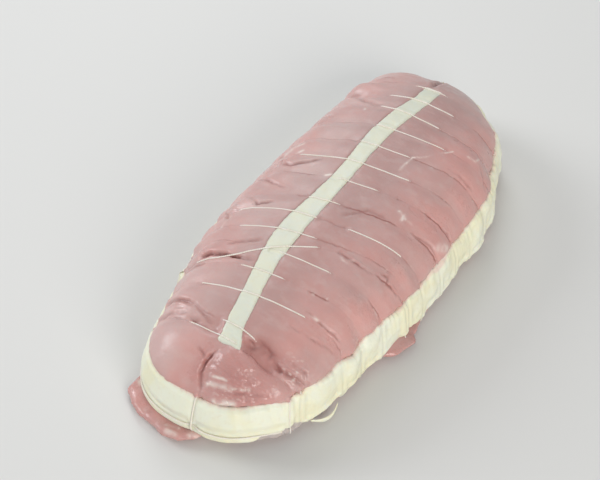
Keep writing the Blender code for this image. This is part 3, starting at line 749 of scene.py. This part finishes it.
def lumps(tree, size, detail=3.0, stretch=(1.0, 1.0, 1.0)):
    """Noise on the object's own coordinates with lumps of about this size in metres."""
    where = add_node(tree, "ShaderNodeTexCoord").outputs["Object"]
    mapping = add_node(tree, "ShaderNodeMapping")
    mapping.inputs["Scale"].default_value = [1.0 / (size * s) for s in stretch]
    noise = add_node(tree, "ShaderNodeTexNoise", Scale=1.0, Detail=detail, Roughness=0.55)
    tree.links.new(where, mapping.inputs["Vector"])
    tree.links.new(mapping.outputs["Vector"], noise.inputs["Vector"])
    return noise.outputs["Fac"]


def ranged(tree, value, low, high, most=1.0):
    """From 0 where the value is low to the most where it is high, with soft ends."""
    node = add_node(tree, "ShaderNodeMapRange", {"interpolation_type": "SMOOTHSTEP"},
                    From_Min=low, From_Max=high, To_Min=0.0, To_Max=most)
    tree.links.new(value, node.inputs["Value"])
    return node.outputs["Result"]


def patched(tree, base, colour, lump, low, high, most=1.0):
    """A base colour with soft patches of another; lump is the noise's size, detail and stretch."""
    return mix_colour(tree, ranged(tree, lumps(tree, *lump), low, high, most), base, colour)


def marked(tree, base, colour, name, share=1.0):
    """A base colour that goes this far to another where the mark of this name is 1."""
    return mix_colour(tree, sum_of(tree, "MULTIPLY", read_mark(tree, name), share), base, colour)


def damp_film():
    """Group for raw meat and fat alike: the uneven gloss of a damp skin and its fine pores."""
    group = bpy.data.node_groups.new("damp_film", "ShaderNodeTree")
    for name, default in (("Dry", 0.5), ("Wet", 0.25), ("Wetness", 0.0)):
        socket = group.interface.new_socket(name, in_out="INPUT", socket_type="NodeSocketFloat")
        socket.default_value = default
    for name in ("Roughness", "Pores"):
        group.interface.new_socket(name, in_out="OUTPUT", socket_type="NodeSocketFloat")
    given = group.nodes.new("NodeGroupInput")
    out = group.nodes.new("NodeGroupOutput")
    patches = ranged(group, lumps(group, 0.007), 0.35, 0.68, 0.45)
    wet = add_node(group, "ShaderNodeMath", {"operation": "ADD", "use_clamp": True})
    group.links.new(patches, wet.inputs[0])
    group.links.new(given.outputs["Wetness"], wet.inputs[1])
    mixed = add_node(group, "ShaderNodeMix", {"data_type": "FLOAT"})
    group.links.new(wet.outputs[0], mixed.inputs[0])
    group.links.new(given.outputs["Dry"], mixed.inputs[2])
    group.links.new(given.outputs["Wet"], mixed.inputs[3])
    group.links.new(mixed.outputs[0], out.inputs["Roughness"])
    group.links.new(lumps(group, 0.0007, 2.0), out.inputs["Pores"])
    return group


film = damp_film()


def add_bump(tree, principled, height, distance, strength=1.0):
    bump = add_node(tree, "ShaderNodeBump", Strength=strength, Distance=distance)
    tree.links.new(height, bump.inputs["Height"])
    tree.links.new(bump.outputs["Normal"], principled.inputs["Normal"])


def damp_skin(tree, principled, colour, dry, wet, lump, distance, wetness=0.0, folds=None):
    """Join a colour, the gloss of the damp film and a fine relief to the shader."""
    node = tree.nodes.new("ShaderNodeGroup")
    node.node_tree = film
    feed(tree, (node.inputs["Dry"], dry), (node.inputs["Wet"], wet), (node.inputs["Wetness"], wetness),
         (principled.inputs["Base Color"], colour),
         (principled.inputs["Roughness"], node.outputs["Roughness"]))
    pores = sum_of(tree, "MULTIPLY", node.outputs["Pores"], 0.3)
    relief = sum_of(tree, "ADD", pores, lumps(tree, lump, 2.0))
    if folds is not None:
        relief = sum_of(tree, "ADD", relief, folds)
    add_bump(tree, principled, relief, distance, 0.8)


GREY_PINK, CLEAR_PINK = (0.55, 0.335, 0.310, 1.0), (0.61, 0.330, 0.300, 1.0)
PALE_FILM_AND_SHEEN, DEEP_RED = (0.61, 0.46, 0.43, 1.0), (0.47, 0.180, 0.160, 1.0)
DULL_PINK = (0.415, 0.265, 0.245, 1.0)
CREASE_SHADE_RED, SINEW_AND_GLINT_WHITE = (0.26, 0.075, 0.062, 1.0), (0.78, 0.68, 0.62, 1.0)
veal, tree, principled = shader("raw_veal", Roughness=0.4, IOR=1.40, Subsurface_Weight=0.20,
                                Subsurface_Radius=(1.0, 0.38, 0.28), Subsurface_Scale=0.0025,
                                Coat_Weight=0.08, Coat_Roughness=0.18)
pink = patched(tree, GREY_PINK, CLEAR_PINK, (0.040,), 0.38, 0.62)
pink = marked(tree, pink, DULL_PINK, "crown", 0.6)
pink = patched(tree, pink, PALE_FILM_AND_SHEEN, (0.007, 3.0, (0.8, 1.4, 1.2)), 0.46, 0.72, 0.24)
pink = patched(tree, pink, DEEP_RED, (0.011, 3.0, (0.8, 1.4, 1.2)), 0.52, 0.72, 0.12)
# the left side and the far end are paled, partly painted sheen
pink = marked(tree, pink, PALE_FILM_AND_SHEEN, "film", 0.55)
pink = patched(tree, pink, DEEP_RED, (0.0012, 2.0, (6.0, 1.0, 1.0)), 0.50, 0.80, 0.08)
# painted shade darkens the creases and, through the redness mark, the near valley; painted glints whiten the
# wet lump and flanks along with the real white sinew and fat
for colour, name, share in ((DEEP_RED, "redness", 0.60), (CREASE_SHADE_RED, "crease", 0.85),
                            (SINEW_AND_GLINT_WHITE, "sinew", 1.0)):
    pink = marked(tree, pink, colour, name, share)
wetness = read_mark(tree, "wetness")
wet_folds = sum_of(tree, "MULTIPLY", wetness, lumps(tree, 0.0013, 2.0, (1.0, 2.2, 1.0)))
damp_skin(tree, principled, pink, 0.52, 0.08, 0.0026, 0.00016, wetness,
          sum_of(tree, "MULTIPLY", wet_folds, 4.5))
meat.data.materials.append(veal)
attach(meat, "root")
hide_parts("veal")


# THE BAND OF FAT
# A broad sheet of cream back fat wrapped once round the waist, in two tiers at the near end.
# It is a few millimetres thick, its upper edge torn and feathered onto the meat, and each
# loop of twine pinches it.
BAND_STEP, BAND_ROWS = 0.0007, 34     # along the waist, and up it
BAND_LOW, BAND_THICK = 0.0066, 0.0034
LIP, CURL = 0.0030, 0.0026            # height of the thinned upper lip and of the rounded lower edge
EDGE_FROM, EDGE_STEP = 0.0285, 0.00025  # the solid's upper edge is felt for from this height
WAIST_RAY, WAIST_HEIGHT = 0.25, 0.0195  # the waist is felt for from this far out, at this height
RAY_OUT, RAY_LONG = 0.03, 0.045       # the other rays start this far outside the waist
PROBE_LOW, PROBE_UNDER = 0.0076, 0.0003   # how near rays go to the solid's lower and upper edge
CURL_IN, LIP_GAP = 0.0016, 0.00012    # how far the lower edge curls in, and the lip's gap to the meat
TIER_FOLD = 0.0118                    # height of the fold between the two tiers
TIERS = ((0.0009, 0.0090, 0.0024), (0.0006, 0.0210, 0.0050))   # stand-out, height, reach


def net(name, rows):
    """A closed or open sheet of points, a row of rows, as a mesh whose doubles are merged."""
    high, wide = rows.shape[:2]
    bpy.ops.object.select_all(action="DESELECT")
    bpy.ops.mesh.primitive_grid_add(x_subdivisions=wide - 1, y_subdivisions=high - 1, size=1.0)
    piece = bpy.context.object
    piece.name = piece.data.name = name
    move_to(piece, rows.reshape(-1, 3))
    bpy.ops.object.mode_set(mode="EDIT")
    bpy.ops.mesh.select_all(action="SELECT")
    bpy.ops.mesh.remove_doubles(threshold=1e-6)
    bpy.ops.mesh.normals_make_consistent(inside=False)
    bpy.ops.object.mode_set(mode="OBJECT")
    bpy.ops.object.shade_smooth()
    return piece


band_solid, meat_skin = tree_of(nodes["bard_band"]), tree_of(meat)


def ray_reach(skin, start, inward):
    hit = skin.ray_cast(Vector(start), Vector(inward), RAY_LONG)
    return hit[3] if hit[0] is not None else None


# the waist's course, from rays onto the solid all round at half the band's height
rim = []
for angle in np.linspace(0.0, 2.0 * math.pi, 3600, endpoint=False):
    start = Vector((WAIST_RAY * math.cos(angle), WAIST_RAY * math.sin(angle), WAIST_HEIGHT))
    rim.append(band_solid.ray_cast(start, Vector((-math.cos(angle), -math.sin(angle), 0.0)))[0][:2])
foot_line, around = respaced(np.array(rim + rim[:1]), BAND_STEP, True)
columns = len(around)
course = np.roll(foot_line, -8, axis=0) - np.roll(foot_line, 8, axis=0)
outward = np.stack([course[:, 1], -course[:, 0]], axis=1)
outward = unit(mean_of(outward, 8))
ring_places = np.stack([around, 0 * around, 0 * around], axis=1)
near_side = soft(-0.100, -0.135, foot_line[:, 0])
right_side = soft(0.0, -0.03, foot_line[:, 1]) * (1.0 - near_side)
# its upper edge is torn, most on the right, and its lower one lifts over the tongue of meat
tear = 0.0005 * grain(ring_places, 0.012, 41) + 0.0004 * grain(ring_places, 0.0042, 42)
tear += (0.3 + 0.9 * right_side) * 0.0006 * grain(ring_places, 0.0016, 43)
tear += right_side * 0.0012 * soft(0.15, 0.8, grain(ring_places, 0.0065, 44))
tear += right_side * 0.0011 * grain(ring_places, 0.021, 45)
lifted = BAND_LOW + 0.0042 * bell(foot_line[:, 0], TONGUE_X, 0.015, 4) * (foot_line[:, 1] < 0.0)

shape = np.zeros((BAND_ROWS + 4, columns, 3))
thinness = np.zeros((BAND_ROWS + 4, columns))
rise_share = np.linspace(0.0, 1.0, BAND_ROWS)
for i in range(columns):
    out3 = np.array((*outward[i], 0.0))
    base = np.array((*foot_line[i], 0.0)) + out3 * RAY_OUT
    inward = Vector(-out3)
    solid_top = EDGE_FROM
    for k in range(16):
        z = EDGE_FROM + EDGE_STEP * k
        reach = ray_reach(band_solid, base + (0, 0, z), inward)
        if reach is None:
            break
        solid_top = z
    top = solid_top + 0.0007 + tear[i]
    zs = lifted[i] + (top - lifted[i]) * rise_share
    last = RAY_OUT
    for j, z in enumerate(zs):
        probe = min(max(z, PROBE_LOW), solid_top - PROBE_UNDER)
        reach = ray_reach(band_solid, base + (0, 0, probe), inward)
        last = reach if reach is not None else last
        skin = ray_reach(meat_skin, base + (0, 0, z), inward) or last + 0.001
        lip = min(max((z - top + LIP) / LIP, 0.0), 1.0)
        stand = RAY_OUT - last
        if lip > 0.0:
            rest = RAY_OUT - skin + LIP_GAP
            stand = rest + (stand - rest) * math.sqrt(max(1.0 - lip ** 2.4, 0.0))
        curl = min(max((lifted[i] + CURL - z) / CURL, 0.0), 1.0)
        stand -= CURL_IN * curl ** 2.2
        shape[j, i] = (*(foot_line[i] + outward[i] * stand), z)
        thinness[j, i] = lip
    inner = RAY_OUT - last - BAND_THICK
    inside = ((top - 0.0006, 0.0012), (0.022, 0.0), (lifted[i] + 0.0054, 0.0), (lifted[i] + 0.0012, 0.0004))
    for k, (z, more) in enumerate(inside):
        shape[BAND_ROWS + k, i] = (*(foot_line[i] + outward[i] * (inner + more)), z)

for j in list(range(BAND_ROWS)) * 2:
    shape[j, :, :2] = mean_of(shape[j, :, :2], 6)
# it is lumpy, more so on the right, and folded into two tiers at the near end
flat = shape[:BAND_ROWS].reshape(-1, 3)
out_flat = np.tile(np.concatenate([outward, np.zeros((columns, 1))], axis=1), (BAND_ROWS, 1))
near_flat, right_flat = np.tile(near_side, BAND_ROWS), np.tile(right_side, BAND_ROWS)
x, y, z = flat.T
ring_flat = np.tile(ring_places, (BAND_ROWS, 1))
ring_flat[:, 2] = z
swell = sum(out * grain(ring_flat, (wide, 1.0, high), seed) for out, wide, high, seed in
            ((0.0004, 0.016, 0.010, 51), (0.00014, 0.005, 0.004, 52), (0.00003, 0.0018, 0.0018, 53)))
swell += right_flat * (0.0011 * grain(ring_flat, (0.012, 1.0, 0.009), 55)
                       + 0.0002 * ridges(ring_flat, (0.009, 1.0, 0.005), 56))
fold_line = TIER_FOLD + 0.0006 * grain(ring_flat * (1, 1, 0), 0.040, 54)
swell -= (0.0002 + 0.0010 * near_flat) * bell(z - fold_line, 0.0009, 0.0010)
for out, height, reach in TIERS:
    swell += out * near_flat * bell(z, height, reach)
left_near = soft(-0.115, -0.135, x) * soft(0.0, 0.02, y)
swell -= 0.0006 * left_near * bell(z - 0.0165, 0.10 * (y - 0.02), 0.0008)
swell *= 1.0 - soft(0.6, 1.0, thinness[:BAND_ROWS].ravel())
flat += out_flat * swell[:, None]
# the loops pinch it, and painted shade darkens its colour in their dents
nearest, off_twine = nearest_twine(flat)
height_now = ((flat - laid[nearest]) * out_flat).sum(axis=1)
wanted = 0.00075 * right_flat - 0.00035 * near_flat + 0.0006 * soft(0.0, 0.0022, off_twine)
hold = 1.0 - soft(0.0008, 0.0036 + 0.0020 * right_flat, off_twine)
flat += out_flat * (hold * (wanted - height_now))[:, None]
pinch_shade = bell(off_twine, 0.0, 0.0011) * (1.0 - 0.6 * right_flat)
# it is thin enough for the meat to show in one place, and a crinkled membrane edges its foot
bared = spot(flat[:, ::2], (0.008, 0.030), (0.010, 0.005)) * right_flat
membrane_top = (0.0062 + 0.0078 * bell(x, -0.1205, 0.0085)
                + 0.0050 * bell(x, -0.1335, 0.0060) + 0.0008 * grain(ring_flat, 0.0035, 57))
membrane = soft(0.0006, -0.0006, z - membrane_top) * (y < -0.02) * (x < -0.10)
crinkles = 0.0007 * grain(ring_flat, (0.0022, 1.0, 0.0045), 58) - 0.0003
flat += out_flat * (membrane * crinkles)[:, None]
shape[:BAND_ROWS] = flat.reshape(BAND_ROWS, columns, 3)
shape = np.concatenate([shape, shape[:1]], axis=0)
shape = np.concatenate([shape, shape[:, :1]], axis=1)
band = net("fat_band", shape)

band_places = places_of(band)
band_finder = finder(flat)
found = np.array([band_finder.find(place)[1] for place in band_places])
# painted shade also darkens the fold between the two tiers
fold_shade = near_flat[found] * bell(band_places[:, 2], 0.0127, 0.0009)
mark(band, "thin", (thinness[:BAND_ROWS].ravel() + 0.9 * bared)[found])
mark(band, "pinch_shade", np.clip(pinch_shade[found] + 0.6 * fold_shade, 0.0, 1.0))
mark(band, "membrane", membrane[found])
FAT_CREAM, FAT_WHITE = (0.81, 0.78, 0.565, 1.0), (0.80, 0.80, 0.66, 1.0)
FAT_PINK, FAT_SHADE = (0.78, 0.58, 0.50, 1.0), (0.70, 0.60, 0.40, 1.0)
MEMBRANE_GREY = (0.44, 0.37, 0.36, 1.0)
FAT_BODY = {"Roughness": 0.45, "IOR": 1.42, "Subsurface_Weight": 0.25, "Coat_Weight": 0.08,
            "Coat_Roughness": 0.25}
fat, tree, principled = shader("cream_fat", Subsurface_Radius=(1.0, 0.75, 0.5), Subsurface_Scale=0.003,
                               **FAT_BODY)
cream = patched(tree, FAT_CREAM, FAT_WHITE, (0.020,), 0.38, 0.62)
cream = patched(tree, cream, FAT_SHADE, (0.0030,), 0.50, 0.80, 0.25)
thin = ranged(tree, sum_of(tree, "ADD", read_mark(tree, "thin"),
                           sum_of(tree, "MULTIPLY", lumps(tree, 0.0025), 0.5)), 0.75, 1.35, 0.75)
cream = mix_colour(tree, thin, cream, FAT_PINK)
# painted shade in the loops' dents and in the fold between the tiers
cream = marked(tree, cream, FAT_SHADE, "pinch_shade", 0.22)
cream = marked(tree, cream, MEMBRANE_GREY, "membrane", 0.9)
damp_skin(tree, principled, cream, 0.52, 0.30, 0.003, 0.00012)
band.data.materials.append(fat)
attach(band, "root")
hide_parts("bard_band")


# THE STRIP OF FAT
# A ribbon of the same fat, about a centimetre wide and cut by hand, laid along the top under
# the loops of twine. It is soft, so the loops dent it and its edges waver.
STRIP_ACROSS, STRIP_THICK = 17, 0.0022
EDGE_DROP, EDGE_WIDE = 0.0007, 0.16     # how far the edges droop, over which share of the width
END_DROP, END_ROUND = 0.0013, 0.0011    # how far the ends droop, and how much they are rounded
along = np.arange(strip_x[0] - STRIP_IN, strip_x[-1] + STRIP_IN, STRIP_STEP)
rows = (strip_low, strip_high, strip_top)
strip_low, strip_high, stands = (np.interp(along, strip_x, row) for row in rows)
run_places = np.stack([along, 0 * along, 0 * along], axis=1)
waver = [0.00035 * grain(run_places, 0.011, seed) + 0.00020 * grain(run_places, 0.003, seed + 1)
         for seed in (61, 63)]
ends_in = np.minimum(along - along[0], along[-1] - along)
rounding = END_ROUND * (1.0 - np.sqrt(1.0 - (1.0 - np.clip(ends_in / 0.0015, 0.0, 1.0)) ** 2))
low = strip_low - 0.0001 + waver[0] + rounding
high = strip_high + 0.0001 + waver[1] - rounding
top = []
for j in range(STRIP_ACROSS):
    t = j / (STRIP_ACROSS - 1)
    drop = EDGE_DROP * (1.0 - min((1.0 - abs(2.0 * t - 1.0)) / EDGE_WIDE, 1.0)) ** 2
    top.append(np.stack([along, low + (high - low) * t, stands - drop], axis=1))
top = np.array(top)
top[:, :, 2] -= END_DROP * (1.0 - np.minimum(ends_in / 0.0016, 1.0)) ** 2
flat = top.reshape(-1, 3)
flat[:, 2] += 0.00016 * grain(flat, (0.012, 0.006, 0.02), 71) + 0.00006 * grain(flat, 0.0022, 72)
nearest, off_twine = nearest_twine(flat)
height_now = flat[:, 2] - laid[nearest][:, 2]
wanted = -0.00020 + 0.0003 * soft(0.0, 0.0022, off_twine)
hold = 1.0 - soft(0.0006, 0.0036, off_twine)
flat[:, 2] += np.clip(hold * (wanted - height_now), -0.0003, 0.0002)
top = flat.reshape(top.shape)
under = top[::-1].copy()
under[:, :, 2] -= STRIP_THICK
under[:, :, 1] += np.linspace(-0.0004, 0.0004, STRIP_ACROSS)[:, None]
ring = np.concatenate([top, under, top[:1]], axis=0)
cap_near, cap_far = ring[:, :1].copy(), ring[:, -1:].copy()
for cap, at in ((cap_near, 0), (cap_far, -1)):
    cap[:, 0] = ring[:, at].mean(axis=0)
strip = net("fat_strip", np.concatenate([cap_near, ring, cap_far], axis=1))
_, off_twine = nearest_twine(places_of(strip))
# painted shade where the loops dent the strip
mark(strip, "pinch_shade", 0.6 * bell(off_twine, 0.0, 0.0010))
STRIP_WHITE, STRIP_GREY = (0.71, 0.71, 0.575, 1.0), (0.68, 0.69, 0.585, 1.0)
pale_fat, tree, principled = shader("pale_fat", Subsurface_Radius=(1.0, 0.8, 0.6), Subsurface_Scale=0.0025,
                                    **FAT_BODY)
cream = patched(tree, STRIP_WHITE, STRIP_GREY, (0.014,), 0.38, 0.62)
cream = patched(tree, cream, FAT_SHADE, (0.0022,), 0.50, 0.80, 0.25)
# painted shade in the dents of the loops
cream = marked(tree, cream, FAT_SHADE, "pinch_shade", 0.45)
damp_skin(tree, principled, cream, 0.50, 0.30, 0.003, 0.00012)
strip.data.materials.append(pale_fat)
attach(strip, "root")
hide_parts("bard_strip")


# THE LOOSE SLIVER OF FAT
# A thin curl of the band's lower edge that hangs free on the right between two loops.
SLIVER_SIDES, SLIVER_THICK = 10, 0.0009
run = twine_run("fat_sliver", 0.0004, 2)[0]
share = np.linspace(0.0, 1.0, len(run))
thick = SLIVER_THICK * (0.55 + 0.6 * np.sin(math.pi * share)) * (1.0 + 0.18 * grain(run, 0.0022, 81))
course = unit(np.gradient(run, axis=0))
side = unit(np.cross(course, (0.0, 0.0, 1.0)))
over = np.cross(side, course)
turn = np.linspace(0.0, 2.0 * math.pi, SLIVER_SIDES + 1)[:, None, None]
shape = run + thick[:, None] * (np.cos(turn) * side * 0.55 + np.sin(turn) * over * 1.35)
first, last = (np.repeat(run[None, k:k + 1], SLIVER_SIDES + 1, 0) for k in (0, len(run) - 1))
shape = np.concatenate([first, shape, last], axis=1)
sliver = net("fat_sliver_curl", shape)
mark(sliver, "thin", np.full(len(sliver.data.vertices), 0.2))
sliver.data.materials.append(fat)
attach(sliver, "root")
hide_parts("fat_sliver")


# THE TWINE
# Thin butcher's twine of two cotton strands laid together: fifteen loops pulled tight round
# meat and fat, one that slants over its neighbour, a lengthwise run that comes down over
# both ends, and one round the near end in the fold of the band.
STRAND_RADIUS, STRAND_OFFSET, LAY = 0.00028, 0.00021, 0.0024
OPEN_HEART = (0.0, 0.0, 0.022)      # the slanting loop's strands turn round a line seen from here
COTTON_CREAM, COTTON_WHITE = (0.82, 0.76, 0.66, 1.0), (0.86, 0.80, 0.73, 1.0)
COTTON_SHADE = (0.66, 0.56, 0.46, 1.0)
cotton, tree, principled = shader("cotton_twine", Roughness=0.75, Subsurface_Weight=0.15,
                                  Subsurface_Radius=(1.0, 0.8, 0.6), Subsurface_Scale=0.0006,
                                  Sheen_Weight=0.25)
white = patched(tree, COTTON_CREAM, COTTON_WHITE, (0.006,), 0.35, 0.65)
white = patched(tree, white, COTTON_SHADE, (0.0004, 2.0), 0.45, 0.75, 0.12)
tree.links.new(white, principled.inputs["Base Color"])
add_bump(tree, principled, lumps(tree, 0.00022, 2.0), 0.00006, 0.8)

for name, (run, closed) in runs.items():
    course = unit(np.roll(run, -1, axis=0) - np.roll(run, 1, axis=0) if closed else np.gradient(run, axis=0))
    if closed:
        away_side = run - run.mean(axis=0)
    else:
        away_side = run - (OPEN_HEART if name == "twine_16" else heart_of(run))
    away_side = unit(away_side - (away_side * course).sum(axis=1)[:, None] * course)
    across = np.cross(course, away_side)
    turns = round(lengths_along(run)[-1] / LAY)
    phase = 2.0 * math.pi * turns * np.arange(len(run)) / (len(run) if closed else len(run) - 1)
    curve = bpy.data.curves.new(name + "_cord", "CURVE")
    curve.dimensions, curve.bevel_depth, curve.bevel_resolution = "3D", STRAND_RADIUS, 1
    curve.use_fill_caps = True
    for strand in range(2):
        angle = (phase + math.pi * strand)[:, None]
        path = run + STRAND_OFFSET * (np.cos(angle) * away_side + np.sin(angle) * across)
        spline = curve.splines.new("POLY")
        spline.points.add(len(path) - 1)
        spline.points.foreach_set("co", np.c_[path, np.ones(len(path))].astype(np.float32).ravel())
        spline.use_cyclic_u = closed
    cord = bpy.data.objects.new(name + "_cord", curve)
    bpy.context.scene.collection.objects.link(cord)
    only(cord)
    bpy.ops.object.convert(target="MESH")
    cord = bpy.context.object
    bpy.ops.object.shade_smooth()
    cord.data.materials.clear()
    cord.data.materials.append(cotton)
    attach(cord, "root")
    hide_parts(name)
